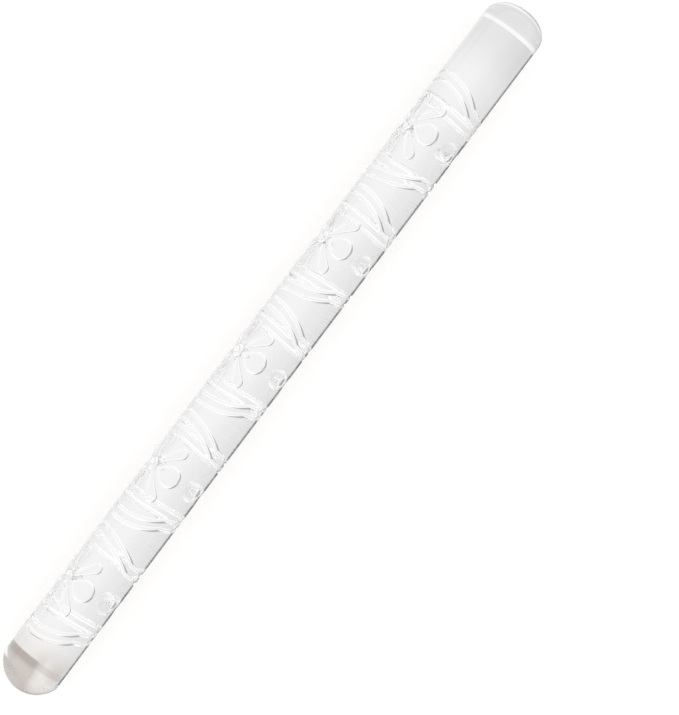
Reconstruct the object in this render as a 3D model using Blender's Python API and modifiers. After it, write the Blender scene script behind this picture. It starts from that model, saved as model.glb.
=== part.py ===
"""One-piece clear acrylic rolling pin with an engraved daisy pattern.

The pin lies along X with its axis through the origin and +Z up. It is a solid rod with domed ends.
The pattern repeats in columns along the pin. It is drawn flat, with x along the pin and y around
it from the middle of the daisies, and is then wrapped round the rod and cut into its surface.
"""

import math

import bmesh
import bpy

MM = 0.001

# Rod
PIN_LENGTH = 330.0 * MM
PIN_DIAMETER = 25.4 * MM
ROUND_END_HEIGHT = 9.0 * MM
BLUNT_END_HEIGHT = 7.8 * MM
BLUNT_END_LAND_DIAMETER = 4.0 * MM

# Pattern zone
PLAIN_AT_ROUND_END = 20.7 * MM
PLAIN_AT_BLUNT_END = 35.8 * MM
COLUMN_COUNT = 5
DAISY_ANGLE = math.radians(54.0)

# Daisy, whose petals point along the pin, slantwise and round it. The reach of the last is a share of
# a turn, and its width a share of that reach, so that it keeps clear of the dots.
PETAL_SLANT = math.radians(41.5)
PETAL_REACH_ALONG = 14.6 * MM
PETAL_REACH_SLANTED = 15.8 * MM
PETAL_REACH_ROUND_TURN_SHARE = 0.183
PETAL_WIDTH_ALONG = 5.2 * MM
PETAL_WIDTH_SLANTED = 4.6 * MM
PETAL_WIDTH_ROUND_REACH_SHARE = 0.6164
PETAL_ROOT_WIDTH_ALONG = 1.8 * MM
PETAL_ROOT_WIDTH_SLANTED = 2.4 * MM
PETAL_ROOT_WIDTH_ROUND = 1.4 * MM
PETAL_ROOT_RADIUS = 3.6 * MM
BUTTON_DIAMETER = 5.2 * MM
RECESS_DEPTH = 0.7 * MM

# Dots beyond the daisy, each as a share of a turn from its middle
BIG_DOT_DIAMETER = 8.3 * MM
BIG_DOT_TURN_SHARE = 0.278
SMALL_DOT_DIAMETER = 7.2 * MM
SMALL_DOT_TURN_SHARE = 0.413

# Double line on each side of a column
GROOVE_WIDTH = 1.8 * MM
GROOVE_DEPTH = 0.65 * MM
LINE_SPACING = 4.0 * MM
NEIGHBOUR_SPACING = 5.0 * MM
CUSP_INSET = 6.3 * MM
BREAK_INSET = 5.1 * MM
SHORT_ARC_RISE = 0.4 * MM
BREAK_LENGTH = 2.7 * MM
CUSP_TURN_SHARE = 0.246

# Fineness
SIDES = 32
DOME_STEPS = 5
PETAL_END_STEPS = 6
PETAL_ROOT_STEPS = 1
DOT_SIDES = 9
BUTTON_SIDES = 8
LONG_ARC_STEPS = 8
SHORT_ARC_STEPS = 4
MERGE_DISTANCE = 0.01 * MM

# Worked out
PIN_RADIUS = PIN_DIAMETER / 2
TURN = math.pi * PIN_DIAMETER
COLUMN_PITCH = (PIN_LENGTH - PLAIN_AT_ROUND_END - PLAIN_AT_BLUNT_END) / COLUMN_COUNT
CUTTER_OVERRUN = PIN_RADIUS / 2

ACRYLIC_COLOUR = (0.86, 0.86, 0.87, 1.0)
ACRYLIC_ROUGHNESS = 0.05
ACRYLIC_IOR = 1.49


def clear_scene():
    """Removes every object of the open scene."""
    for item in list(bpy.data.objects):
        bpy.data.objects.remove(item, do_unlink=True)


def new_collection(name, parent):
    """Returns a new collection inside another one."""
    collection = bpy.data.collections.new(name)
    parent.children.link(collection)
    return collection


def acrylic():
    """Returns the material of the pin: clear, polished acrylic."""
    material = bpy.data.materials.new("clear_acrylic")
    material.use_nodes = True
    shader = material.node_tree.nodes["Principled BSDF"]
    shader.inputs["Base Color"].default_value = ACRYLIC_COLOUR
    shader.inputs["Roughness"].default_value = ACRYLIC_ROUGHNESS
    shader.inputs["Metallic"].default_value = 0.0
    shader.inputs["IOR"].default_value = ACRYLIC_IOR
    return material


def round_end_profile():
    """Returns (radius, height below the tip) down the round end, an arc that meets the rod at an edge."""
    opening = 2 * math.atan2(ROUND_END_HEIGHT, PIN_RADIUS)
    ball_radius = PIN_RADIUS / math.sin(opening)
    angles = [opening * step / DOME_STEPS for step in range(DOME_STEPS + 1)]
    return [(ball_radius * math.sin(a), ball_radius * (1 - math.cos(a))) for a in angles]


def blunt_end_profile():
    """Returns (radius, height below the tip) down the blunt end, a flat land inside a quarter ellipse."""
    land_radius = BLUNT_END_LAND_DIAMETER / 2
    points = [(0.0, 0.0)]
    for step in range(DOME_STEPS + 1):
        angle = math.pi / 2 * step / DOME_STEPS
        radius = land_radius + (PIN_RADIUS - land_radius) * math.sin(angle)
        points.append((radius, BLUNT_END_HEIGHT * (1 - math.cos(angle))))
    return points


def turned(name, profile, collection):
    """Returns a solid turned about X from (radius, x) points that run from its +X end to its -X end.

    The middles of its flat sides lie at these radii, and it lies on one of them.
    """
    start = math.pi / SIDES
    corner = 1 / math.cos(start)
    mesh = bpy.data.meshes.new(name)
    form = bmesh.new()
    verts = []
    for radius, x in profile:
        reach = radius * corner
        verts.append(form.verts.new((reach * math.cos(start), reach * math.sin(start), x)))
    for first, second in zip(verts, verts[1:]):
        form.edges.new((first, second))
    form.to_mesh(mesh)
    form.free()
    item = bpy.data.objects.new(name, mesh)
    item.rotation_euler = (0.0, math.pi / 2, 0.0)
    collection.objects.link(item)
    screw = item.modifiers.new("turn", "SCREW")
    screw.axis = "Z"
    screw.angle = 2 * math.pi
    screw.steps = screw.render_steps = SIDES
    screw.use_merge_vertices = True
    screw.merge_threshold = MERGE_DISTANCE
    screw.use_smooth_shade = True
    return item


def rod(collection):
    """Returns the plain rod with its two ends."""
    half = PIN_LENGTH / 2
    blunt = [(radius, half - height) for radius, height in blunt_end_profile()]
    rounded = [(radius, height - half) for radius, height in reversed(round_end_profile())]
    return turned("rolling_pin", blunt + rounded, collection)


def recess_floor(collection):
    """Returns the core that gives the daisies and dots their floor, a smaller rod inside the pattern zone."""
    radius = PIN_RADIUS - RECESS_DEPTH
    high = PIN_LENGTH / 2 - PLAIN_AT_BLUNT_END
    low = PLAIN_AT_ROUND_END - PIN_LENGTH / 2
    return turned("recess_floor", [(0.0, high), (radius, high), (radius, low), (0.0, low)], collection)


def wrapped(curve, name, radial_scale, collection):
    """Returns the mesh of a flat curve wrapped round the rod, its z taken outward from the surface."""
    source = bpy.data.objects.new(name, curve)
    collection.objects.link(source)
    bpy.context.view_layer.update()
    depsgraph = bpy.context.evaluated_depsgraph_get()
    mesh = bpy.data.meshes.new_from_object(source.evaluated_get(depsgraph))
    bpy.data.objects.remove(source, do_unlink=True)
    form = bmesh.new()
    form.from_mesh(mesh)
    bmesh.ops.remove_doubles(form, verts=form.verts, dist=MERGE_DISTANCE)
    bmesh.ops.recalc_face_normals(form, faces=form.faces)
    for vert in form.verts:
        along, around, out = vert.co
        angle = DAISY_ANGLE + around / PIN_RADIUS
        radius = PIN_RADIUS + out * radial_scale
        vert.co = (along, radius * math.sin(angle), radius * math.cos(angle))
    form.to_mesh(mesh)
    form.free()
    item = bpy.data.objects.new(name, mesh)
    collection.objects.link(item)
    return item


def poly_curve(name, points, height, closed):
    """Returns a curve of straight runs through flat points at one height."""
    curve = bpy.data.curves.new(name, "CURVE")
    curve.dimensions = "3D"
    spline = curve.splines.new("POLY")
    spline.points.add(len(points) - 1)
    for point, (along, around) in zip(spline.points, points):
        point.co = (along, around, height, 1.0)
    spline.use_cyclic_u = closed
    return curve


def recess(name, outline, collection):
    """Returns the cutter of a recess with a flat outline and walls square to the surface."""
    curve = poly_curve(name, outline, 0.0, True)
    curve.dimensions = "2D"
    curve.fill_mode = "BOTH"
    curve.extrude = CUTTER_OVERRUN
    return wrapped(curve, name, 1.0, collection)


def circle_outline(along, around, diameter, sides):
    """Returns the corners of a circle."""
    angles = [2 * math.pi * side / sides for side in range(sides)]
    return [(along + diameter / 2 * math.cos(a), around + diameter / 2 * math.sin(a)) for a in angles]


def petal_outline(along, direction, reach, width, root_width):
    """Returns a drop: a small arc at the root and a large one at the tip, joined by their tangents."""
    root_radius = root_width / 2
    tip_radius = width / 2
    root = PETAL_ROOT_RADIUS + root_radius
    tip = reach - tip_radius
    side = math.acos((root_radius - tip_radius) / (tip - root))
    points = []
    for step in range(PETAL_END_STEPS + 1):
        angle = side * (2 * step / PETAL_END_STEPS - 1)
        points.append((tip + tip_radius * math.cos(angle), tip_radius * math.sin(angle)))
    for step in range(PETAL_ROOT_STEPS + 1):
        angle = side + (2 * math.pi - 2 * side) * step / PETAL_ROOT_STEPS
        points.append((root + root_radius * math.cos(angle), root_radius * math.sin(angle)))
    turn_x, turn_y = math.cos(direction), math.sin(direction)
    return [(along + x * turn_x - y * turn_y, x * turn_y + y * turn_x) for x, y in points]


def petals():
    """Returns the direction, reach, width and root width of every petal of a daisy."""
    along = (PETAL_REACH_ALONG, PETAL_WIDTH_ALONG, PETAL_ROOT_WIDTH_ALONG)
    slanted = (PETAL_REACH_SLANTED, PETAL_WIDTH_SLANTED, PETAL_ROOT_WIDTH_SLANTED)
    around_reach = PETAL_REACH_ROUND_TURN_SHARE * TURN
    around = (around_reach, PETAL_WIDTH_ROUND_REACH_SHARE * around_reach, PETAL_ROOT_WIDTH_ROUND)
    found = []
    for ahead in (0.0, math.pi):
        found.append((ahead, *along))
        found.append((ahead + math.pi / 2, *around))
        for slant in (PETAL_SLANT, -PETAL_SLANT):
            found.append((ahead + slant, *slanted))
    return found


def daisy(column, along, collection):
    """Makes the cutters of one daisy: its button and its petals."""
    button = circle_outline(along, 0.0, BUTTON_DIAMETER, BUTTON_SIDES)
    recess(f"button_{column}", button, collection)
    for number, petal in enumerate(petals()):
        recess(f"petal_{column}_{number}", petal_outline(along, *petal), collection)


def dots(column, along, collection):
    """Makes the cutters of the big and the small dots beyond both sides of a daisy."""
    sizes = [(BIG_DOT_DIAMETER, BIG_DOT_TURN_SHARE), (SMALL_DOT_DIAMETER, SMALL_DOT_TURN_SHARE)]
    for number, (diameter, share) in enumerate(sizes):
        for side in (-1, 1):
            outline = circle_outline(along, side * share * TURN, diameter, DOT_SIDES)
            recess(f"dot_{column}_{number}_{side}", outline, collection)


def line_points(along, side, offset):
    """Returns one line of a column: a long arc past the daisy and a short arc beyond each cusp.

    The offset is the line's distance from the middle of its column beside the daisy.
    """
    cusp = CUSP_TURN_SHARE * TURN
    end = TURN / 2 - BREAK_LENGTH / 2
    half = []
    for step in range(LONG_ARC_STEPS // 2 + 1):
        share = 2 * step / LONG_ARC_STEPS
        half.append((offset - CUSP_INSET * share**2, cusp * share))
    for step in range(1, SHORT_ARC_STEPS + 1):
        share = step / SHORT_ARC_STEPS
        rise = 4 * SHORT_ARC_RISE * share * (1 - share)
        half.append((offset - CUSP_INSET - BREAK_INSET * share + rise, cusp + (end - cusp) * share))
    whole = [(x, -y) for x, y in reversed(half[1:])] + half
    return [(along + side * x, y) for x, y in whole]


def groove(name, points, collection):
    """Returns the cutter of a V groove that follows flat points.

    The cutter is a four-sided tube whose widest edges run clear of the surface. It is as wide as the
    groove where it enters the surface.
    """
    curve = poly_curve(name, points, GROOVE_WIDTH / 2, False)
    curve.twist_mode = "Z_UP"
    curve.bevel_depth = GROOVE_WIDTH
    curve.bevel_resolution = 0
    curve.use_fill_caps = True
    return wrapped(curve, name, 2 * GROOVE_DEPTH / GROOVE_WIDTH, collection)


def double_lines(column, along, collection):
    """Makes the cutters of the double line on both sides of a column."""
    outer = (COLUMN_PITCH - NEIGHBOUR_SPACING) / 2
    for side in (-1, 1):
        for number, offset in enumerate((outer - LINE_SPACING, outer)):
            points = line_points(along, side, offset)
            groove(f"line_{column}_{side}_{number}", points, collection)


def boolean(item, operation, other):
    """Adds an exact Boolean with an object, or with all the objects of a collection."""
    modifier = item.modifiers.new(other.name, "BOOLEAN")
    modifier.operation = operation
    modifier.solver = "EXACT"
    if isinstance(other, bpy.types.Collection):
        modifier.operand_type = "COLLECTION"
        modifier.collection = other
    else:
        modifier.object = other


def hide_guides(collection):
    """Shows the cutters as wires only and keeps them out of a render."""
    for item in collection.all_objects:
        item.hide_render = True
        item.display_type = "WIRE"


def build():
    """Builds the pin."""
    clear_scene()
    scene_collection = bpy.context.scene.collection
    parts = new_collection("acrylic_rolling_pin", scene_collection)
    cutters = new_collection("cutters", scene_collection)
    recesses = new_collection("recesses", cutters)
    grooves = new_collection("grooves", cutters)
    pin = rod(parts)
    pin.data.materials.append(acrylic())
    floor = recess_floor(cutters)
    first = PLAIN_AT_ROUND_END - PIN_LENGTH / 2 + COLUMN_PITCH / 2
    for column in range(COLUMN_COUNT):
        along = first + column * COLUMN_PITCH
        daisy(column, along, recesses)
        dots(column, along, recesses)
        double_lines(column, along, grooves)
    boolean(pin, "DIFFERENCE", recesses)
    boolean(pin, "UNION", floor)
    boolean(pin, "DIFFERENCE", grooves)
    hide_guides(cutters)


build()
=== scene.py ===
"""Looks of a one-piece clear acrylic rolling pin engraved with daisies, dots and wavy double lines.

The pin lies along X with its axis through the origin. Its pattern repeats in columns along the pin,
and each column is its own mirror image both ways, so a quarter of a column is drawn and mirrored.
The drawing is flat: u runs along the pin from the middle of a daisy, and v round it. Each contour
of the engraving becomes edges of the drawing's mesh, the mesh is sunk by the depth at every point,
and the sheet is wrapped round the rod. Metres are used throughout.
"""

import logging
import math
from dataclasses import dataclass, field
from enum import Enum

import bpy
import numpy as np
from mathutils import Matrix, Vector
from mathutils.geometry import delaunay_2d_cdt


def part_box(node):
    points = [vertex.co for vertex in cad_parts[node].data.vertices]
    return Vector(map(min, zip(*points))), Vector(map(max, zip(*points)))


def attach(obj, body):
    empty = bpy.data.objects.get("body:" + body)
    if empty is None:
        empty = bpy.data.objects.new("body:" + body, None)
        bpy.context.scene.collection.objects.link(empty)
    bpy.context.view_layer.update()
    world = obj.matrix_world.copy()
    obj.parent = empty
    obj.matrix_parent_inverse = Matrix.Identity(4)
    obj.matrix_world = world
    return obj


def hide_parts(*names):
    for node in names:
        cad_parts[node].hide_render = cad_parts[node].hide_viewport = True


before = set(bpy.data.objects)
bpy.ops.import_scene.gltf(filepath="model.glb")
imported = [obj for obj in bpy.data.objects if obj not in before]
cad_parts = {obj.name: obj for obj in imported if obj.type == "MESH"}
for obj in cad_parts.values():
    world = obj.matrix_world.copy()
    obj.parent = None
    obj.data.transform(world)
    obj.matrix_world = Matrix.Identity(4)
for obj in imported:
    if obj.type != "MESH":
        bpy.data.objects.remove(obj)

MM = 0.001
PIN_NODE = "rolling_pin"
BODY = "root"
MERGE_DISTANCE = 0.001 * MM
COURSE_SPACING = 0.4 * MM
SLOPE_REACH = 0.01 * MM
LEAST_ARC_STEPS = 4
ROOT_ARC_STEPS = 3
CAP_STEPS = 6
STAGGER = 0.5
WHITE = (1.0, 1.0, 1.0, 1.0)
LOG = logging.getLogger("rolling_pin")

# A Step is where a soft step starts and ends. A Zone is where a soft strip starts, is full, begins
# to fade and ends.
Step = tuple[float, float]
Zone = tuple[float, float, float, float]
Colour = tuple[float, float, float]
Socket = bpy.types.NodeSocket
Value = float | tuple[float, ...] | Socket


class PetalAim(Enum):
    """Where a petal of the quarter points: along the pin, slantwise or round it."""

    ALONG = 0.0
    SLANTED = math.radians(41.5)
    ROUND = math.pi / 2


@dataclass(frozen=True)
class Bowl:
    """The round hollow profile of an engraved shape, from its soft lip down to its floor.

    Args:
        depth: Depth of the floor.
        reach: Largest width of the hollow slope.
        lip: Half the width of the rounding at the outline.
        fullness: Exponent of the slope's curve, 2 for a round hollow and more for a steeper one.
        shallowing: How strongly the depth falls off where the shape is narrower than two reaches.
        lip_shares: Places of the contours across the lip, as shares of half its width.
        shares: Places of the contours on the slope, as shares of its width.
    """

    depth: float
    reach: float
    lip: float
    fullness: float = 2.0
    shallowing: float = 0.6
    lip_shares: tuple[float, ...] = (-1.0, -0.3, 0.3)
    shares: tuple[float, ...] = (0.1, 0.25, 0.45, 0.7, 1.0)

    def depth_at(self, inside: np.ndarray, half: np.ndarray) -> np.ndarray:
        """Finds the depth under points.

        Args:
            inside: How far each point lies inside the outline, negative outside it.
            half: Half the width of the shape at each point.

        Returns:
            The depth at each point.
        """
        share = np.clip((inside + self.lip) / (2 * self.lip), 0.0, 1.0)
        inner = np.where(share < 1, self.lip * (2 * share**3 - share**4), inside)
        slope = np.minimum(self.reach, half)
        fall = np.clip(inner / slope, 0.0, 1.0)
        depth = self.depth * (slope / self.reach) ** self.shallowing
        return depth * (1 - (1 - fall) ** self.fullness) ** (1 / self.fullness)

    def insets(self) -> list[float]:
        """Returns the distances inside the outline at which there is a contour."""
        return [*(s * self.lip for s in self.lip_shares), *(s * self.reach for s in self.shares)]


@dataclass(frozen=True)
class Disc:
    """A round recess on the line u = 0, such as a dot or the daisy's button.

    Args:
        around: Its middle's v.
        radius: Its radius at the pin's surface.
        bowl: Its profile.
    """

    around: float
    radius: float
    bowl: Bowl

    def depth(self, points: np.ndarray) -> np.ndarray:
        """Returns the depth at flat points."""
        inside = self.radius - np.hypot(points[:, 0], points[:, 1] - self.around)
        return self.bowl.depth_at(inside, np.full(len(points), self.radius))

    def contour(self, inset: float, spacing: float) -> np.ndarray:
        """Draws the part of one contour that lies in the quarter.

        Args:
            inset: The contour's distance inside the outline.
            spacing: Wanted distance between its points.

        Returns:
            Flat points, from border to border of the quarter.
        """
        radius = self.radius - inset
        start = 0.0 if self.around == 0.0 else -math.pi / 2
        count = max(LEAST_ARC_STEPS, round(radius * (math.pi / 2 - start) / spacing))
        angles = np.linspace(start, math.pi / 2, count + 1)
        return np.column_stack([radius * np.cos(angles), self.around + radius * np.sin(angles)])


@dataclass(frozen=True)
class Petal:
    """A drop-shaped recess: a small arc at its root and a large one at its tip, joined by tangents.

    Args:
        aim: Where it points.
        reach: Distance of its tip from the middle of the daisy.
        width: Its largest width.
        root: Distance of its root from the middle of the daisy.
        root_width: Its width at the root.
        bowl: Its profile.
    """

    aim: PetalAim
    reach: float
    width: float
    root: float
    root_width: float
    bowl: Bowl

    def _shape(self) -> tuple[float, float, float, float]:
        """Returns the root arc's radius and place and the tip arc's radius and place."""
        small, large = self.root_width / 2, self.width / 2
        return small, self.root + small, large, self.reach - large

    def depth(self, points: np.ndarray) -> np.ndarray:
        """Finds the depth of the recess.

        Args:
            points: Flat points.

        Returns:
            The depth at each point.
        """
        small, low, large, high = self._shape()
        turn = self.aim.value
        length = points[:, 0] * math.cos(turn) + points[:, 1] * math.sin(turn) - low
        side = np.abs(points[:, 1] * math.cos(turn) - points[:, 0] * math.sin(turn))
        sine = (small - large) / (high - low)
        cosine = math.sqrt(1 - sine**2)
        along = length * cosine - side * sine
        outside = side * cosine + length * sine - small
        outside = np.where(along < 0, np.hypot(side, length) - small, outside)
        beyond = np.hypot(side, length - (high - low)) - large
        outside = np.where(along > cosine * (high - low), beyond, outside)
        half = small + (large - small) * np.clip(along / (cosine * (high - low)), 0.0, 1.0)
        return self.bowl.depth_at(-outside, half)

    def _half(self, inset: float, spacing: float) -> np.ndarray:
        """Draws one side of a contour from its tip to its root.

        Args:
            inset: The contour's distance inside the outline.
            spacing: Wanted distance between its points.

        Returns:
            Points as lengths along the petal and sideways.
        """
        small, low, large, high = self._shape()
        side = math.acos((small - large) / (high - low))
        if inset < small:
            small, root = small - inset, np.linspace(side, math.pi, ROOT_ARC_STEPS + 1)
        else:
            low += (inset - small) * (high - low) / (large - small)
            small, root = 0.0, np.zeros(1)
        large -= inset
        tip = np.linspace(0.0, side, max(LEAST_ARC_STEPS, round(large * side / spacing)) + 1)
        tip_arc = np.column_stack([high + large * np.cos(tip), large * np.sin(tip)])
        root_arc = np.column_stack([low + small * np.cos(root), small * np.sin(root)])
        count = max(2, round(np.linalg.norm(tip_arc[-1] - root_arc[0]) / spacing))
        shares = np.linspace(0.0, 1.0, count + 1)[1:-1, None]
        straight = tip_arc[-1] * (1 - shares) + root_arc[0] * shares
        return np.vstack([tip_arc, straight, root_arc])

    def contour(self, inset: float, spacing: float) -> np.ndarray:
        """Draws the part of one contour that lies in the quarter.

        Args:
            inset: The contour's distance inside the outline.
            spacing: Wanted distance between its points.

        Returns:
            Flat points, from border to border of the quarter or all the way round.
        """
        half = self._half(inset, spacing)
        mirrored = half * (1, -1)
        if self.aim is PetalAim.ALONG:
            shape = half
        elif self.aim is PetalAim.ROUND:
            shape = mirrored
        else:
            shape = np.vstack([half, mirrored[-2::-1]])
        turn = self.aim.value
        along = shape[:, 0] * math.cos(turn) - shape[:, 1] * math.sin(turn)
        around = shape[:, 0] * math.sin(turn) + shape[:, 1] * math.cos(turn)
        return np.column_stack([along, around])


@dataclass(frozen=True)
class WavyLine:
    """A groove that passes the daisy in a long arc and runs on in a short arc beyond its cusp.

    Args:
        offset: Its distance from the daisy's middle beside the daisy.
        half_width: Half its width at the pin's surface.
        cusp: The cusp's v.
        cusp_inset: How much nearer the column's middle the cusp lies.
        end: The v at which the groove stops.
        end_inset: How much nearer the column's middle than the cusp it stops.
        rise: How far the short arc bulges outward.
        bowl: Its profile.
    """

    offset: float
    half_width: float
    cusp: float
    cusp_inset: float
    end: float
    end_inset: float
    rise: float
    bowl: Bowl

    def course(self, spacing: float) -> np.ndarray:
        """Draws the middle of the groove.

        Args:
            spacing: Wanted distance between its points.

        Returns:
            Flat points from beside the daisy to the groove's end.
        """
        count = round(self.cusp / spacing)
        share = np.linspace(0.0, 1.0, count + 1)
        long_arc = np.column_stack([self.offset - self.cusp_inset * share**2, self.cusp * share])
        count = round((self.end - self.cusp) / spacing)
        share = np.linspace(0.0, 1.0, count + 1)[1:]
        bulge = 4 * self.rise * share * (1 - share)
        along = self.offset - self.cusp_inset - self.end_inset * share + bulge
        short_arc = np.column_stack([along, self.cusp + (self.end - self.cusp) * share])
        return np.vstack([long_arc, short_arc])

    def depth(self, points: np.ndarray) -> np.ndarray:
        """Finds the depth of the groove.

        Args:
            points: Flat points.

        Returns:
            The depth at each point.
        """
        course = self.course(COURSE_SPACING)
        nearest = np.full(len(points), np.inf)
        for corner, step in zip(course, np.diff(course, axis=0)):
            share = np.clip((points - corner) @ step / (step @ step), 0.0, 1.0)
            away = points - corner - share[:, None] * step
            nearest = np.minimum(nearest, np.hypot(away[:, 0], away[:, 1]))
        return self.bowl.depth_at(self.half_width - nearest, np.full(len(points), self.half_width))

    def contour(self, inset: float, spacing: float) -> np.ndarray:
        """Draws one contour: down one side of the course, round its end and back.

        Args:
            inset: The contour's distance inside the outline.
            spacing: Wanted distance between its points.

        Returns:
            Flat points, from border to border of the quarter.
        """
        course = self.course(spacing)
        away = self.half_width - inset
        if away < MERGE_DISTANCE:
            return course
        runs = np.diff(course, axis=0)
        runs /= np.linalg.norm(runs, axis=1)[:, None]
        normals = np.column_stack([runs[:, 1], -runs[:, 0]])
        before, after = np.vstack([[1.0, 0.0], normals]), np.vstack([normals, normals[-1:]])
        middle = before + after
        mitre = 2 * middle / np.sum(middle**2, axis=1)[:, None]
        heading = math.atan2(normals[-1, 1], normals[-1, 0])
        angles = heading + np.linspace(0.0, math.pi, CAP_STEPS + 1)[1:-1]
        cap = course[-1] + away * np.column_stack([np.cos(angles), np.sin(angles)])
        return np.vstack([course + away * mitre, cap, (course - away * mitre)[::-1]])


@dataclass(frozen=True)
class Pattern:
    """Sizes of the engraved pattern, and the shapes of one quarter of a column.

    Args:
        pitch: Length of a column along the pin.
        turn: Circumference of the pin.
        petal_reaches: Reach of the petals that point along the pin, slantwise and round it.
        petal_widths: Their widths.
        petal_root_widths: Their widths at the root.
        petal_root: Distance of their roots from the middle of the daisy.
        button_radius: Radius of the daisy's button.
        big_dot_radius: Radius of the dot next to the daisy.
        big_dot_share: Its v, as a share of a turn.
        small_dot_radius: Radius of the dot farther round.
        small_dot_share: Its v, as a share of a turn.
        line_half_width: Half the width of a wavy line.
        line_spacing: Distance between the two lines of a pair.
        neighbour_spacing: Distance to the next column's line.
        cusp_share: The cusps' v, as a share of a turn.
        cusp_inset: How much nearer the column's middle the cusps lie.
        break_length: Length of the lines' break opposite the daisy.
        break_inset: How much nearer the column's middle than their cusps the lines stop.
        short_arc_rise: How far the lines bulge outward beyond their cusps.
        petal_bowl: Profile of the petals.
        dot_bowl: Profile of the button and the dots.
        groove_bowl: Profile of the lines.
    """

    pitch: float
    turn: float
    petal_reaches: tuple[float, float, float] = (14.6 * MM, 15.8 * MM, 14.6 * MM)
    petal_widths: tuple[float, float, float] = (5.2 * MM, 4.6 * MM, 9.0 * MM)
    petal_root_widths: tuple[float, float, float] = (1.8 * MM, 2.4 * MM, 1.4 * MM)
    petal_root: float = 3.6 * MM
    button_radius: float = 2.6 * MM
    big_dot_radius: float = 4.15 * MM
    big_dot_share: float = 0.278
    small_dot_radius: float = 3.6 * MM
    small_dot_share: float = 0.413
    line_half_width: float = 0.9 * MM
    line_spacing: float = 4.0 * MM
    neighbour_spacing: float = 5.0 * MM
    cusp_share: float = 0.246
    cusp_inset: float = 6.3 * MM
    break_length: float = 2.7 * MM
    break_inset: float = 5.1 * MM
    short_arc_rise: float = 0.4 * MM
    petal_bowl: Bowl = Bowl(depth=0.65 * MM, reach=1.2 * MM, lip=0.12 * MM, fullness=1.6)
    dot_bowl: Bowl = Bowl(depth=0.7 * MM, reach=2.4 * MM, lip=0.15 * MM, fullness=1.3)
    groove_bowl: Bowl = Bowl(depth=0.65 * MM, reach=0.9 * MM, lip=0.12 * MM, fullness=1.7)

    def petals(self) -> list[Petal]:
        """Returns the petals that lie in the quarter."""
        sizes = zip(PetalAim, self.petal_reaches, self.petal_widths, self.petal_root_widths)
        return [
            Petal(aim, reach, width, self.petal_root, root_width, self.petal_bowl)
            for aim, reach, width, root_width in sizes
        ]

    def discs(self) -> list[Disc]:
        """Returns the button and the dots."""
        places = [
            (0.0, self.button_radius),
            (self.big_dot_share * self.turn, self.big_dot_radius),
            (self.small_dot_share * self.turn, self.small_dot_radius),
        ]
        return [Disc(around, radius, self.dot_bowl) for around, radius in places]

    def lines(self) -> list[WavyLine]:
        """Returns the inner and the outer line."""
        outer = (self.pitch - self.neighbour_spacing) / 2
        return [
            WavyLine(
                offset=offset,
                half_width=self.line_half_width,
                cusp=self.cusp_share * self.turn,
                cusp_inset=self.cusp_inset,
                end=(self.turn - self.break_length) / 2,
                end_inset=self.break_inset,
                rise=self.short_arc_rise,
                bowl=self.groove_bowl,
            )
            for offset in (outer - self.line_spacing, outer)
        ]

    def shapes(self) -> list[Petal | Disc | WavyLine]:
        """Returns every engraved shape of the quarter."""
        return [*self.petals(), *self.discs(), *self.lines()]

    def depth(self, points: np.ndarray) -> np.ndarray:
        """Returns the depth of the engraving at flat points of the quarter."""
        return np.max([shape.depth(points) for shape in self.shapes()], axis=0)


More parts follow.
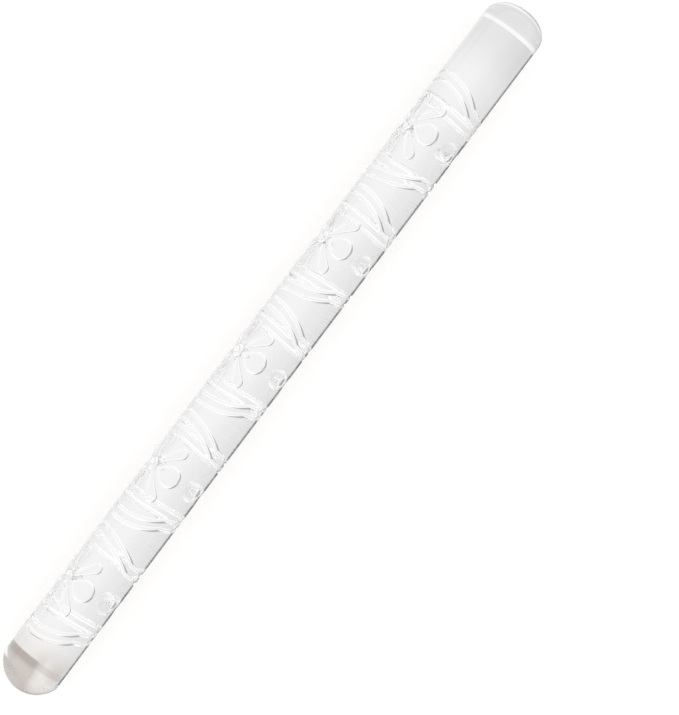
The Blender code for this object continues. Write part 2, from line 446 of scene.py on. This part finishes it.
@dataclass
class Drawing:
    """The flat mesh of a quarter of a column, with an edge along every contour of the engraving.

    Args:
        pattern: The pattern to draw.
        lines_along: Number of lattice steps along the quarter.
        lines_around: Number of lattice steps round it.
        shape_spacing: Distance between the points of a petal's or a dot's contour.
        line_spacing: Distance between the points of a groove's contour.
        clearance_share: Share of a lattice step that the lattice keeps to a contour.
    """

    pattern: Pattern
    lines_along: int = 30
    lines_around: int = 48
    shape_spacing: float = 0.5 * MM
    line_spacing: float = 0.7 * MM
    clearance_share: float = 0.6
    _points: list[np.ndarray] = field(default_factory=list)
    _edges: list[tuple[int, int]] = field(default_factory=list)

    def _add(self, points: np.ndarray) -> None:
        """Adds a run of points.

        Args:
            points: The points, which edges join in order.
        """
        first = sum(len(run) for run in self._points)
        self._points.append(np.where(np.abs(points) < MERGE_DISTANCE, 0.0, points))
        self._edges += [(first + i, first + i + 1) for i in range(len(points) - 1)]

    def _border(self, contours: np.ndarray) -> None:
        """Adds the quarter's four borders, each with the contours' ends on it.

        Args:
            contours: The points of all contours.
        """
        long, high = self.pattern.pitch / 2, self.pattern.turn / 2
        steps = {0: self.lines_along, 1: self.lines_around}
        for axis, across, place in ((0, 1, 0.0), (0, 1, high), (1, 0, 0.0), (1, 0, long)):
            size = (long, high)[axis]
            ends = contours[np.abs(contours[:, across] - place) < MERGE_DISTANCE][:, axis]
            lattice = np.linspace(0.0, size, steps[axis] + 1)
            keep = self.clearance_share * size / steps[axis]
            clear = [t for t in lattice if not len(ends) or np.min(np.abs(ends - t)) > keep]
            places = np.unique(np.concatenate([clear, ends, [0.0, size]]))
            run = np.full((len(places), 2), place)
            run[:, axis] = places
            self._add(run)

    def _lattice(self, contours: np.ndarray) -> None:
        """Adds the loose points between the contours, in staggered rows.

        Args:
            contours: The points of all contours.
        """
        long, high = self.pattern.pitch / 2, self.pattern.turn / 2
        step_along, step_around = long / self.lines_along, high / self.lines_around
        rows, columns = range(1, self.lines_around), range(1, self.lines_along)
        steps = [(c + STAGGER * (r % 2) - STAGGER / 2, r) for r in rows for c in columns]
        points = np.array(steps) * (step_along, step_around)
        gaps = np.full(len(points), np.inf)
        for contour_point in contours:
            gaps = np.minimum(gaps, np.hypot(*(points - contour_point).T))
        clear = points[gaps > self.clearance_share * min(step_along, step_around)]
        self._points.append(clear)

    def mesh(self, name: str) -> bpy.types.Mesh:
        """Triangulates the drawing and sinks it by the depth of the engraving.

        Args:
            name: The new mesh's name.

        Returns:
            The mesh, with u as x, v as y and the depth as negative z.
        """
        for shape in self.pattern.shapes():
            fine = self.line_spacing if isinstance(shape, WavyLine) else self.shape_spacing
            for inset in shape.bowl.insets():
                self._add(shape.contour(inset, fine))
        contours = np.vstack(self._points)
        self._border(contours)
        self._lattice(contours)
        corners = [Vector(point) for point in np.vstack(self._points)]
        found = delaunay_2d_cdt(corners, self._edges, [], 0, MERGE_DISTANCE)
        flat, faces = np.array([tuple(corner) for corner in found[0]]), found[2]
        depth = self.pattern.depth(flat)
        mesh = bpy.data.meshes.new(name)
        mesh.from_pydata(np.column_stack([flat, -depth]).tolist(), [], faces)
        return mesh


def only(item: bpy.types.Object) -> None:
    """Deselects everything else and makes an object the active one.

    Args:
        item: The object.
    """
    bpy.ops.object.select_all(action="DESELECT")
    item.select_set(True)
    bpy.context.view_layer.objects.active = item


def linked(name: str, mesh: bpy.types.Mesh) -> bpy.types.Object:
    """Puts a mesh in the scene, selected alone.

    Args:
        name: The new object's name.
        mesh: The mesh.

    Returns:
        The new object.
    """
    item = bpy.data.objects.new(name, mesh)
    bpy.context.scene.collection.objects.link(item)
    only(item)
    return item


class ShaderGraph:
    """A node tree that is written as a formula: each method adds a node and returns its value.

    Args:
        tree: The node tree.
    """

    def __init__(self, tree: bpy.types.NodeTree) -> None:
        """Keeps the tree."""
        self.tree = tree

    def fill(self, node: bpy.types.Node, values: dict[str | int, Value]) -> bpy.types.Node:
        """Gives inputs of a node their values or links.

        Args:
            node: The node.
            values: Numbers, colours or sockets, by the inputs' names or places.

        Returns:
            The same node.
        """
        for name, value in values.items():
            if isinstance(value, Socket):
                self.tree.links.new(value, node.inputs[name])
            else:
                node.inputs[name].default_value = value
        return node

    def node(self, kind: str, **values: Value) -> bpy.types.Node:
        """Adds a node of a kind, with its inputs by name, written with underscores for spaces."""
        values = {name.replace("_", " "): value for name, value in values.items()}
        return self.fill(self.tree.nodes.new(kind), values)

    def math(self, operation: str, first: Value, second: Value) -> Socket:
        """Works out a sum, product or like.

        Args:
            operation: What to do, such as ADD or MULTIPLY.
            first: The first value.
            second: The second value.

        Returns:
            The outcome.
        """
        node = self.tree.nodes.new("ShaderNodeMath")
        node.operation = operation
        return self.fill(node, {0: first, 1: second}).outputs[0]

    def ramp(
        self, value: Value, step: Step, low: float = 0.0, high: float = 1.0, soft: bool = True
    ) -> Socket:
        """Makes a step from one value to another.

        Args:
            value: The value that it follows.
            step: Where it starts and ends.
            low: What it gives before its start.
            high: What it gives beyond its end.
            soft: Whether it starts and ends softly.

        Returns:
            The step's value.
        """
        start, end = step
        reach = {"Value": value, "From Min": start, "From Max": end, "To Min": low, "To Max": high}
        node = self.fill(self.tree.nodes.new("ShaderNodeMapRange"), reach)
        node.interpolation_type = "SMOOTHSTEP" if soft else "LINEAR"
        return node.outputs[0]

    def zone(self, place: Value, zone: Zone) -> Socket:
        """Returns the mask of a soft strip, 1 in the strip and 0 outside it."""
        rise, fall = self.ramp(place, zone[:2]), self.ramp(place, zone[2:], 1.0, 0.0)
        return self.math("MULTIPLY", rise, fall)

    def mixed(self, share: Value, first: bpy.types.Node, second: bpy.types.Node) -> bpy.types.Node:
        """Returns a mix of two shaders with a share of the second."""
        values = {0: share, 1: first.outputs[0], 2: second.outputs[0]}
        return self.fill(self.tree.nodes.new("ShaderNodeMixShader"), values)

    def blend(self, share: Value, first: Value, second: Value) -> Socket:
        """Returns a value between two others with a share of the second."""
        first = self.math("MULTIPLY", self.math("SUBTRACT", 1.0, share), first)
        return self.math("ADD", first, self.math("MULTIPLY", share, second))


@dataclass(frozen=True)
class ClearAcrylic:
    """Polished clear acrylic with fine handling marks.

    Args:
        tint: Its colour.
        ior: Its index of refraction.
        polish: Roughness where it is untouched.
        wear: Roughness where it has been handled.
        marks_scale: Fineness of the marks.
        marks_detail: Fineness of their edges.
        marks_step: Values of the noise at which a mark starts and is full.
    """

    tint: Colour = (0.97, 0.972, 0.975)
    ior: float = 1.49
    polish: float = 0.02
    wear: float = 0.06
    marks_scale: float = 60.0
    marks_detail: float = 6.0
    marks_step: Step = (0.4, 0.75)

    def material(self) -> bpy.types.Material:
        """Makes the material.

        Returns:
            The new material.
        """
        material = bpy.data.materials.new("clear_acrylic_finish")
        material.use_nodes = True
        graph = ShaderGraph(material.node_tree)
        place = graph.node("ShaderNodeTexCoord").outputs["Object"]
        marks = graph.node(
            "ShaderNodeTexNoise", Vector=place, Scale=self.marks_scale, Detail=self.marks_detail
        ).outputs["Fac"]
        values = {
            "Base Color": (*self.tint, 1.0),
            "Roughness": graph.ramp(marks, self.marks_step, self.polish, self.wear, soft=False),
            "IOR": self.ior,
            "Transmission Weight": 1.0,
        }
        graph.fill(material.node_tree.nodes["Principled BSDF"], values)
        return material


@dataclass
class EngravedPin:
    """The whole pin: the engraved sheet wrapped round the rod, and its two domed ends.

    Args:
        length: Length from tip to tip.
        radius: Radius of the rod.
        finish: What it is made of.
        columns: Number of columns of the pattern.
        plain_at_round_end: Plain length at the round end, which points to -X.
        plain_at_blunt_end: Plain length at the blunt end.
        daisy_angle: Angle of the daisies from +Z towards +Y.
        round_end_height: Height of the round end's ball cap.
        round_end_edge_radius: Rounding of the edge where it meets the rod.
        edge_steps: Number of steps in that rounding.
        blunt_end_height: Height of the blunt end's dome.
        blunt_end_land_radius: Radius of the flat in its middle.
        end_steps: Number of steps in an end's outline.
    """

    length: float
    radius: float
    finish: ClearAcrylic = ClearAcrylic()
    columns: int = 5
    plain_at_round_end: float = 20.7 * MM
    plain_at_blunt_end: float = 35.8 * MM
    daisy_angle: float = math.radians(54.0)
    round_end_height: float = 9.0 * MM
    round_end_edge_radius: float = 1.2 * MM
    edge_steps: int = 6
    blunt_end_height: float = 7.8 * MM
    blunt_end_land_radius: float = 2.0 * MM
    end_steps: int = 28

    @property
    def turn(self) -> float:
        """Circumference of the rod."""
        return 2 * math.pi * self.radius

    @property
    def pitch(self) -> float:
        """Length of one column of the pattern."""
        plain = self.plain_at_round_end + self.plain_at_blunt_end
        return (self.length - plain) / self.columns

    @property
    def low(self) -> float:
        """Lowest x of the pattern."""
        return self.plain_at_round_end - self.length / 2

    @property
    def high(self) -> float:
        """Highest x of the pattern."""
        return self.length / 2 - self.plain_at_blunt_end

    def _sheet(self, drawing: Drawing) -> bpy.types.Object:
        """Makes the flat engraved sheet of all columns.

        Args:
            drawing: The drawing of a quarter of a column.

        Returns:
            The sheet, at its place along the pin.
        """
        sheet = linked("engraved_pin", drawing.mesh("engraved_pin"))
        mirror = sheet.modifiers.new("other_quarters", "MIRROR")
        mirror.use_axis = (True, True, False)
        mirror.merge_threshold = MERGE_DISTANCE
        bpy.ops.object.modifier_apply(modifier=mirror.name)
        array = sheet.modifiers.new("columns", "ARRAY")
        array.use_relative_offset = False
        array.use_constant_offset = True
        array.constant_offset_displace = (self.pitch, 0.0, 0.0)
        array.count = self.columns
        array.use_merge_vertices = True
        array.merge_threshold = MERGE_DISTANCE
        bpy.ops.object.modifier_apply(modifier=array.name)
        bpy.ops.object.mode_set(mode="EDIT")
        bpy.ops.mesh.select_all(action="SELECT")
        bpy.ops.transform.translate(value=(self.low + self.pitch / 2, 0.0, 0.0))
        bpy.ops.object.mode_set(mode="OBJECT")
        return sheet

    def _wrap(self, sheet: bpy.types.Object) -> None:
        """Wraps the sheet round the rod.

        Args:
            sheet: The flat sheet.
        """
        flat = np.empty(len(sheet.data.vertices) * 3)
        sheet.data.vertices.foreach_get("co", flat)
        flat = flat.reshape(-1, 3)
        angle = self.daisy_angle + flat[:, 1] / self.radius
        radius = self.radius + flat[:, 2]
        round_rod = np.column_stack([flat[:, 0], radius * np.sin(angle), radius * np.cos(angle)])
        sheet.data.vertices.foreach_set("co", round_rod.ravel())

    def _round_end(self) -> list[tuple[float, float]]:
        """Draws the outline of the round end.

        Returns:
            (x, radius) from the edge of the pattern to the tip.
        """
        opening = 2 * math.atan2(self.round_end_height, self.radius)
        ball = self.radius / math.sin(opening)
        edge = self.round_end_edge_radius
        corner = self.radius - edge
        meet = math.asin(corner / (ball - edge))
        ball_middle = ball - self.length / 2
        edge_x = ball_middle - (ball - edge) * math.cos(meet)
        points = [(self.low, self.radius)]
        for step in range(self.edge_steps + 1):
            angle = math.pi / 2 - (math.pi / 2 - meet) * step / self.edge_steps
            points.append((edge_x - edge * math.cos(angle), corner + edge * math.sin(angle)))
        for step in range(1, self.end_steps + 1):
            angle = meet * (1 - step / self.end_steps)
            points.append((ball_middle - ball * math.cos(angle), ball * math.sin(angle)))
        return points

    def _blunt_end(self) -> list[tuple[float, float]]:
        """Draws the outline of the blunt end.

        Returns:
            (x, radius) from the edge of the pattern to the tip.
        """
        land = self.blunt_end_land_radius
        base = self.length / 2 - self.blunt_end_height
        points = [(self.high, self.radius)]
        for step in range(self.end_steps + 1):
            angle = math.pi / 2 * step / self.end_steps
            reach = land + (self.radius - land) * math.cos(angle)
            points.append((base + self.blunt_end_height * math.sin(angle), reach))
        return points + [(self.length / 2, 0.0)]

    def _spun(self, name: str, outline: list[tuple[float, float]], steps: int) -> bpy.types.Object:
        """Spins an outline about the pin's axis.

        Args:
            name: The new object's name.
            outline: Its (x, radius).
            steps: Number of steps round the axis.

        Returns:
            The new object.
        """
        seam = self.daisy_angle + math.pi
        side = (math.sin(seam), math.cos(seam))
        mesh = bpy.data.meshes.new(name)
        corners = [(x, r * side[0], r * side[1]) for x, r in outline]
        mesh.from_pydata(corners, [(i, i + 1) for i in range(len(corners) - 1)], [])
        item = linked(name, mesh)
        bpy.ops.object.mode_set(mode="EDIT")
        bpy.ops.mesh.select_all(action="SELECT")
        bpy.ops.mesh.spin(
            steps=steps, angle=2 * math.pi, center=(0, 0, 0), axis=(1, 0, 0), use_auto_merge=False
        )
        bpy.ops.mesh.select_all(action="SELECT")
        bpy.ops.mesh.remove_doubles(threshold=MERGE_DISTANCE)
        bpy.ops.object.mode_set(mode="OBJECT")
        return item

    def _close(self, pin: bpy.types.Object) -> None:
        """Welds the seams and turns the faces outward.

        Args:
            pin: The joined sheet and ends.
        """
        only(pin)
        bpy.ops.object.mode_set(mode="EDIT")
        bpy.ops.mesh.select_all(action="SELECT")
        bpy.ops.mesh.remove_doubles(threshold=2 * MERGE_DISTANCE)
        bpy.ops.mesh.normals_make_consistent(inside=False)
        bpy.ops.mesh.select_all(action="DESELECT")
        bpy.ops.object.mode_set(mode="OBJECT")
        pin.data.shade_smooth()

    def _true_normals(self, pin: bpy.types.Object, pattern: Pattern) -> None:
        """Gives the patterned part the engraving's exact normals, so that it refracts cleanly.

        Args:
            pin: The closed pin.
            pattern: Its pattern.
        """
        count = len(pin.data.vertices)
        place = np.empty(count * 3)
        pin.data.vertices.foreach_get("co", place)
        x, y, z = place.reshape(-1, 3).T
        zone = (x > self.low) & (x < self.high)
        angle = np.arctan2(y, z)[zone]
        around = (angle - self.daisy_angle + math.pi) % (2 * math.pi) - math.pi
        along = (x[zone] - self.low) % self.pitch - self.pitch / 2
        flat = np.column_stack([along, around * self.radius])
        folded, sign = np.abs(flat), np.sign(flat)
        slope = []
        for axis in ((SLOPE_REACH, 0.0), (0.0, SLOPE_REACH)):
            change = pattern.depth(folded + axis) - pattern.depth(folded - axis)
            slope.append(change / (2 * SLOPE_REACH))
        rise_along, rise_around = slope[0] * sign[:, 0], slope[1] * sign[:, 1]
        rise_around *= self.radius / np.hypot(y, z)[zone]
        sine, cosine = np.sin(angle), np.cos(angle)
        normals = np.zeros((count, 3))
        normals[zone, 0] = rise_along
        normals[zone, 1] = sine + rise_around * cosine
        normals[zone, 2] = cosine - rise_around * sine
        normals[zone] /= np.linalg.norm(normals[zone], axis=1)[:, None]
        pin.data.normals_split_custom_set_from_vertices(normals.tolist())

    def build(self) -> bpy.types.Object:
        """Builds the pin and puts it in the CAD node's place.

        Returns:
            The finished piece.
        """
        pattern = Pattern(self.pitch, self.turn)
        drawing = Drawing(pattern)
        pin = self._sheet(drawing)
        self._wrap(pin)
        steps = 2 * drawing.lines_around
        ends = [
            self._spun("round_end", self._round_end(), steps),
            self._spun("blunt_end", self._blunt_end(), steps),
        ]
        only(pin)
        for end in ends:
            end.select_set(True)
        bpy.ops.object.join()
        self._close(pin)
        self._true_normals(pin, pattern)
        pin.data.materials.append(self.finish.material())
        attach(pin, BODY)
        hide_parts(PIN_NODE)
        LOG.info("%s: %d faces", pin.name, len(pin.data.polygons))
        return pin


@dataclass(frozen=True)
class PhotoView:
    """The photograph's camera: straight above the middle of the pin, turned so that the pin slants.

    Args:
        distance: Its distance from the pin's axis.
        pin_slope: Angle of the pin's +X direction above the picture's horizontal.
        scale: Pixels of the photograph to a metre at the pin's axis.
        frame_height: Height of the photograph in pixels.
        middle_px: The pin's middle, in pixels right and down from the photograph's middle.
    """

    distance: float = 0.57
    pin_slope: float = math.radians(53.05)
    scale: float = 2556.0
    frame_height: float = 715.0
    middle_px: tuple[float, float] = (-68.75, -7.5)

    def build(self) -> bpy.types.Object:
        """Adds the camera, makes it the scene's own and shows every tone as it is.

        Returns:
            The camera.
        """
        data = bpy.data.cameras.new("photo_view")
        data.lens = data.sensor_width * self.distance * self.scale / self.frame_height
        data.shift_x = -self.middle_px[0] / self.frame_height
        data.shift_y = self.middle_px[1] / self.frame_height
        camera = bpy.data.objects.new("photo_view", data)
        camera.location = (0.0, 0.0, self.distance)
        camera.rotation_euler = (0.0, 0.0, -self.pin_slope)
        bpy.context.scene.collection.objects.link(camera)
        bpy.context.scene.camera = camera
        bpy.context.scene.view_settings.view_transform = "Standard"
        return camera


@dataclass(frozen=True)
class RoundEndPaintedLight:
    """Painted shade and light in the table's lens beside the round end and under it.

    Args:
        beside: Colour of the painted warm shade beside the end.
        beside_step: Where it comes in along the pin.
        beside_fade: Where it weakens across the pin.
        beside_rest: Share of it that is left there.
        streak: Colour of the pale streak in it, a painted highlight.
        streak_zone: The streak's reach across the pin.
        under: Colour of the painted shade under the end.
        under_step: Where it comes in along the pin.
        under_share: Share of it that shows.
        shade: Colour of the shade under the end, on the pin's far side.
        shade_step: Where the shade comes in across the pin.
        tip: Colour of the shade towards the tip.
        tip_step: Where it comes in along the pin.
    """

    beside: Colour = (0.84, 0.775, 0.72)
    beside_step: Step = (-143.2 * MM, -154.2 * MM)
    beside_fade: Step = (-0.5 * MM, 1.5 * MM)
    beside_rest: float = 0.5
    streak: Colour = (0.94, 0.91, 0.89)
    streak_zone: Zone = (-2.3 * MM, -1.6 * MM, -1.3 * MM, -0.8 * MM)
    under: Colour = (0.68, 0.64, 0.61)
    under_step: Step = (-152.8 * MM, -153.7 * MM)
    under_share: float = 0.5
    shade: Colour = (0.49, 0.44, 0.4)
    shade_step: Step = (-0.9 * MM, 0.0)
    tip: Colour = (0.6, 0.55, 0.52)
    tip_step: Step = (-155.7 * MM, -158.2 * MM)

    def painted_tones(
        self, graph: ShaderGraph, along: Socket, across: Socket
    ) -> list[tuple[Socket, Colour]]:
        """Finds the colours of the painted shade and light and where each shows.

        Args:
            graph: The table's material.
            along: Place along the pin.
            across: Place across it.

        Returns:
            The mask and the colour of each, which is laid over the ones before it.
        """
        # Masks of the painted warm shade, its pale painted highlight streak and the darker painted
        # shade under the end.
        fade = graph.ramp(across, self.beside_fade, 1.0, self.beside_rest)
        beside = graph.math("MULTIPLY", graph.ramp(along, self.beside_step), fade)
        under = graph.ramp(along, self.under_step)
        far_side = graph.ramp(across, self.shade_step)
        return [
            (beside, self.beside),
            (graph.math("MULTIPLY", beside, graph.zone(across, self.streak_zone)), self.streak),
            (graph.math("MULTIPLY", under, self.under_share), self.under),
            (graph.math("MULTIPLY", far_side, under), self.shade),
            (graph.math("MULTIPLY", far_side, graph.ramp(along, self.tip_step)), self.tip),
        ]


@dataclass(frozen=True)
class BluntEndPaintedLight:
    """Painted shade and light of the table beside the blunt end and under its dome.

    Args:
        beside: Colour of the painted shade in the lens beside the end.
        beside_step: Where it comes in along the pin.
        under: Tone of the painted shade under the dome.
        under_step: Where it comes in along the pin.
        band: Tone of the pale band of painted light at the dome's edge.
        band_zone: The band's reach along the pin.
    """

    beside: Colour = (0.87, 0.87, 0.87)
    beside_step: Step = (132 * MM, 154 * MM)
    under: float = 0.77
    under_step: Step = (156.0 * MM, 156.5 * MM)
    band: float = 0.97
    band_zone: Zone = (156.3 * MM, 156.8 * MM, 157.8 * MM, 158.6 * MM)

    def tint(self, graph: ShaderGraph, along: Socket) -> tuple[Socket, Colour]:
        """Returns the mask and the colour of the painted shade in the lens beside the end."""
        return graph.ramp(along, self.beside_step), self.beside

    def over(self, graph: ShaderGraph, along: Socket, through: bpy.types.Node) -> bpy.types.Node:
        """Lays the dome's painted shade and pale band of painted light over the table.

        Args:
            graph: The table's material.
            along: Place along the pin.
            through: The table as seen through the pin elsewhere.

        Returns:
            The table with those tones.
        """
        # Painted shade under the dome, with a pale painted band of light at its edge.
        tone = graph.blend(graph.zone(along, self.band_zone), self.under, self.band)
        dome = graph.node("ShaderNodeEmission", Strength=tone)
        return graph.mixed(graph.ramp(along, self.under_step), through, dome)


@dataclass(frozen=True)
class LightTable:
    """A white light table, with what the clear pin on it shows of the light below.

    The pin shows a painted shadow on the table along one side of the line that the pin lies on, and
    a painted pool of light on the other side, both seen only through the pin. The real pin's
    surroundings aren't in the photograph, so painted shade and light under its ends stand in for
    them.

    Args:
        height: Height of its top.
        view_height: Height of the camera, which the lens under the top is made for.
        size: Length of its sides.
        glow: Share of its tone that is its own glow. The rest is lit, and keeps the shadow.
        mirrored: Its tone as mirrored by the pin's near and far side, painted shade darker than its
            lit top.
        mirrored_shade_step: Where the one gives way to the other.
        lens_ior: Index of refraction of the lens.
        shade: Tone of the shaded side, as seen through the pin.
        shade_zone: The shade's reach from below the axis towards the pin's near side.
        shade_step: Where the shade comes in along the pin.
        lit: Tone of the lit side, as seen through the pin.
        lit_zone: The lit side's reach towards the pin's far side.
        round_end: Painted shade and light at the round end.
        blunt_end: Painted shade and light at the blunt end.
    """

    height: float
    view_height: float
    size: float = 6.0
    glow: float = 0.5
    mirrored: tuple[float, float] = (0.2, 0.8)
    mirrored_shade_step: Step = (-10 * MM, 10 * MM)
    lens_ior: float = 2.0
    shade: float = 0.36
    shade_zone: Zone = (3.4 * MM, 4.8 * MM, 6.8 * MM, 8.2 * MM)
    shade_step: Step = (-152 * MM, -149 * MM)
    lit: float = 0.95
    lit_zone: Zone = (2.7 * MM, 3.6 * MM, 9.0 * MM, 11.0 * MM)
    round_end: RoundEndPaintedLight = RoundEndPaintedLight()
    blunt_end: BluntEndPaintedLight = BluntEndPaintedLight()

    def _lens(self, graph: ShaderGraph, along: Socket, across: Socket) -> bpy.types.Node:
        """Adds the lens under the top, which turns the camera's slanting lines of sight upright.

        Args:
            graph: The table's material.
            along: Place along the pin.
            across: Place across it.

        Returns:
            The lens's shader, clear but for its painted shade and light at the pin's ends.
        """
        colour = WHITE
        # Painted shade and light at the pin's ends, laid into the lens's colour.
        painted_tones = [*self.round_end.painted_tones(graph, along, across), self.blunt_end.tint(graph, along)]
        for mask, tone in painted_tones:
            mix = graph.node("ShaderNodeMixRGB", Fac=mask, Color1=colour, Color2=(*tone, 1.0))
            colour = mix.outputs[0]
        tilt = graph.math("DIVIDE", along, self.view_height - self.height)
        normal = graph.node("ShaderNodeCombineXYZ", X=tilt, Z=1.0).outputs[0]
        unit = graph.node("ShaderNodeVectorMath", Vector=normal)
        unit.operation = "NORMALIZE"
        return graph.node(
            "ShaderNodeBsdfRefraction",
            Color=colour,
            Roughness=0.0,
            IOR=self.lens_ior,
            Normal=unit.outputs[0],
        )

    def _through(self, graph: ShaderGraph, along: Socket, across: Socket) -> bpy.types.Node:
        """Adds all that the pin shows of the table.

        Args:
            graph: The table's material.
            along: Place along the pin.
            across: Place across it.

        Returns:
            The table as seen through the pin.
        """
        through = self.blunt_end.over(graph, along, self._lens(graph, along, across))
        # Painted shadow: a dark strip beside the line the pin lies on, towards its near side, and a
        # painted pool of light on its far side, both seen only through the pin.
        strip = graph.zone(graph.math("MULTIPLY", across, -1.0), self.shade_zone)
        strip = graph.math("MULTIPLY", strip, graph.ramp(along, self.shade_step))
        shade = graph.node("ShaderNodeEmission", Strength=self.shade)
        through = graph.mixed(strip, through, shade)
        lit = graph.node("ShaderNodeEmission", Strength=self.lit)
        return graph.mixed(graph.zone(across, self.lit_zone), through, lit)

    def _material(self) -> bpy.types.Material:
        """Makes the material, which has one look by itself, one mirrored with painted shade and one
        through the pin with painted shade and light.

        Returns:
            The new material.
        """
        material = bpy.data.materials.new("light_table_top")
        material.use_nodes = True
        material.node_tree.nodes.clear()
        graph = ShaderGraph(material.node_tree)
        top = graph.mixed(
            self.glow,
            graph.node("ShaderNodeBsdfDiffuse", Color=WHITE),
            graph.node("ShaderNodeEmission", Color=WHITE, Strength=1.0),
        )
        place = graph.node("ShaderNodeTexCoord").outputs["Object"]
        along, across, _ = graph.node("ShaderNodeSeparateXYZ", Vector=place).outputs
        # Painted shade in the pin's reflections: the table mirrored darker than its lit top,
        # darkest on the near side.
        tone = graph.ramp(across, self.mirrored_shade_step, *self.mirrored)
        mirrored = graph.node("ShaderNodeEmission", Strength=tone)
        seen = graph.node("ShaderNodeLightPath").outputs
        surface = graph.mixed(seen["Is Glossy Ray"], top, mirrored)
        through = self._through(graph, along, across)
        surface = graph.mixed(seen["Is Transmission Ray"], surface, through)
        graph.node("ShaderNodeOutputMaterial", Surface=surface.outputs[0])
        return material

    def build(self) -> None:
        """Adds the table."""
        bpy.ops.object.select_all(action="DESELECT")
        bpy.ops.mesh.primitive_plane_add(size=self.size, location=(0, 0, self.height))
        table = bpy.context.object
        table.name = "light_table"
        table.data.materials.append(self._material())


@dataclass(frozen=True)
class SideLight:
    """Light from one side of the room.

    Args:
        axis: The axis that the side lies along.
        step: Parts of a direction along that axis at which the light comes in and is full.
        tone: Its strength.
    """

    axis: str
    step: Step
    tone: float


@dataclass(frozen=True)
class RoomLight:
    """The light of the room, by the direction in which it is seen.

    Args:
        below: Light from below, towards the daisies' side of the pin and towards its other side.
        below_step: Where the one gives way to the other.
        before: Light from low down before the pin's near side, as a share of the light from below.
        before_step: Where that share comes in.
        sides: Light from the right, the left, far aside to the left and beyond the pin's far side,
            each laid over the ones before it.
        horizon: Light from just above the horizon.
        above: Light from above.
        above_step: Where it comes in.
        sky_step: Where both come in over the other lights.
        warm: Colour of the light towards the round end.
        warm_step: Where that colour comes in.
    """

    below: tuple[float, float] = (0.9, 0.81)
    below_step: Step = (-0.05, 0.18)
    before: float = 0.9
    before_step: Step = (-0.27, -0.44)
    sides: tuple[SideLight, ...] = (
        SideLight("X", (0.03, 0.12), 1.03),
        SideLight("X", (-0.03, -0.12), 1.06),
        SideLight("X", (-0.2, -0.27), 0.8),
        SideLight("Y", (0.42, 0.455), 0.06),
    )
    horizon: float = 0.5
    above: float = 1.22
    above_step: Step = (0.1, 0.45)
    sky_step: Step = (-0.05, 0.05)
    warm: Colour = (1.0, 0.965, 0.93)
    warm_step: Step = (-0.1, -0.25)

    def _tone(self, graph: ShaderGraph, toward: dict[str, Socket]) -> Socket:
        """Finds how strong the light is.

        Args:
            graph: The world's nodes.
            toward: Parts of the direction along X, Y and Z.

        Returns:
            The light's strength.
        """
        tone = graph.ramp(toward["Y"], self.below_step, *self.below)
        before = graph.ramp(toward["Y"], self.before_step, 1.0, self.before)
        tone = graph.math("MULTIPLY", tone, before)
        for side in self.sides:
            tone = graph.blend(graph.ramp(toward[side.axis], side.step), tone, side.tone)
        sky = graph.ramp(toward["Z"], self.above_step, self.horizon, self.above)
        return graph.blend(graph.ramp(toward["Z"], self.sky_step), tone, sky)

    def build(self) -> None:
        """Adds the light, which is plain white where the camera looks straight at it."""
        world = bpy.data.worlds.new("room_light")
        bpy.context.scene.world = world
        world.use_nodes = True
        world.node_tree.nodes.clear()
        graph = ShaderGraph(world.node_tree)
        look = graph.node("ShaderNodeTexCoord").outputs["Generated"]
        toward = dict(zip("XYZ", graph.node("ShaderNodeSeparateXYZ", Vector=look).outputs))
        straight = graph.node("ShaderNodeLightPath").outputs["Is Camera Ray"]
        strength = graph.blend(straight, self._tone(graph, toward), 1.0)
        tones = [graph.ramp(toward["X"], self.warm_step, 1.0, tone) for tone in self.warm]
        colour = graph.fill(graph.node("ShaderNodeCombineColor"), dict(enumerate(tones)))
        light = graph.node("ShaderNodeBackground", Color=colour.outputs[0], Strength=strength)
        graph.node("ShaderNodeOutputWorld", Surface=light.outputs[0])


@dataclass(frozen=True)
class Studio:
    """The light table and the light of the room.

    Args:
        table: The table.
        room: The room's light.
        bounces: How often light may turn on its way.
        bounces_of_a_kind: How often it may be mirrored or go through a surface.
    """

    table: LightTable
    room: RoomLight = RoomLight()
    bounces: int = 48
    bounces_of_a_kind: int = 32

    def build(self) -> None:
        """Adds both, and lets light go on through the clear rod as long as in a real one."""
        cycles = bpy.context.scene.cycles
        cycles.max_bounces = self.bounces
        cycles.glossy_bounces = self.bounces_of_a_kind
        cycles.transmission_bounces = self.bounces_of_a_kind
        self.table.build()
        self.room.build()


def main() -> None:
    """Builds the pin, the studio and the camera."""
    logging.basicConfig(level=logging.INFO)
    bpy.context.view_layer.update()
    low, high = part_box(PIN_NODE)
    pin = EngravedPin(length=high[0] - low[0], radius=(high[2] - low[2]) / 2)
    pin.build()
    view = PhotoView()
    Studio(LightTable(height=low[2], view_height=view.distance)).build()
    view.build()


if __name__ == "__main__":
    main()
